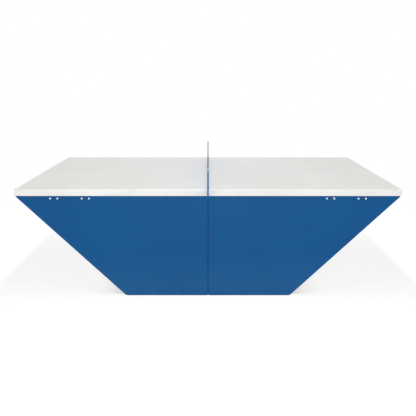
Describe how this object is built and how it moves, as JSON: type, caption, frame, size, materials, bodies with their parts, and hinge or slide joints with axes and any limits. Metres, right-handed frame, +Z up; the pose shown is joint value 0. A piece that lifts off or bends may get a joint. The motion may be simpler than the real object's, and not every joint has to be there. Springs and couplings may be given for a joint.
{
  "type": "ping pong table",
  "caption": "Outdoor ping pong table with a white moulded top in halves, a blue folded-steel base with sloping ends, and a pierced net plate that lifts out of its slot.",
  "frame": {"origin": "on the floor, under the middle of the net", "axes": "+X along the table's length, +Y across it from the front to the rear, +Z up"},
  "size_m": [2.74, 1.625, 0.9125],
  "materials": {
    "white_gelcoat": "satin white gelcoat on glass-fibre laminate",
    "core_board": "sealed plywood core",
    "blue_paint": "semi-gloss blue powder coat on steel sheet",
    "galvanised": "dull zinc on steel",
    "stainless": "plain stainless steel",
    "black_rubber": "matt black EPDM",
    "bush_nylon": "natural nylon",
    "insert_brass": "plain brass"
  },
  "bodies": {
    "table": {"beam_inner_left": "galvanised", "beam_inner_right": "galvanised", "beam_outer_left": "galvanised", "beam_outer_right": "galvanised", "beam_pad_inner_left": "black_rubber", "beam_pad_inner_right": "black_rubber", "beam_pad_outer_left": "black_rubber", "beam_pad_outer_right": "black_rubber", "bedding_strip_front_left": "black_rubber", "bedding_strip_front_right": "black_rubber", "bedding_strip_rear_left": "black_rubber", "bedding_strip_rear_right": "black_rubber", "bulkhead_left": "blue_paint", "bulkhead_pad_left": "black_rubber", "bulkhead_pad_right": "black_rubber", "bulkhead_right": "blue_paint", "core_left": "core_board", "core_right": "core_board", "floor_tie_left": "galvanised", "floor_tie_right": "galvanised", "net_bolts": "stainless", "net_bushes": "bush_nylon", "net_nuts": "stainless", "net_washers": "stainless", "panel_bolts_left": "stainless", "panel_bolts_right": "stainless", "panel_front_left": "blue_paint", "panel_front_right": "blue_paint", "panel_nuts_left": "stainless", "panel_nuts_right": "stainless", "panel_rear_left": "blue_paint", "panel_rear_right": "blue_paint", "panel_washers_left": "stainless", "panel_washers_right": "stainless", "seam_bolts": "stainless", "seam_gasket_front": "black_rubber", "seam_gasket_rear": "black_rubber", "seam_nuts": "stainless", "seam_washers": "stainless", "tie_nuts_left": "stainless", "tie_nuts_right": "stainless", "tie_studs_left": "galvanised", "tie_studs_right": "galvanised", "tie_washers_left": "stainless", "tie_washers_right": "stainless", "top_inserts_left": "insert_brass", "top_inserts_right": "insert_brass", "top_left": "white_gelcoat", "top_right": "white_gelcoat", "top_screws_left": "stainless", "top_screws_right": "stainless", "top_washers_left": "stainless", "top_washers_right": "stainless"},
    "net": {"net_plate": "blue_paint"}
  },
  "joints": [
    {"name": "net_lift", "type": "slide", "parent": "table", "child": "net", "axis": [0, 0, 1], "range_m": [0, 0.1]}
  ]
}
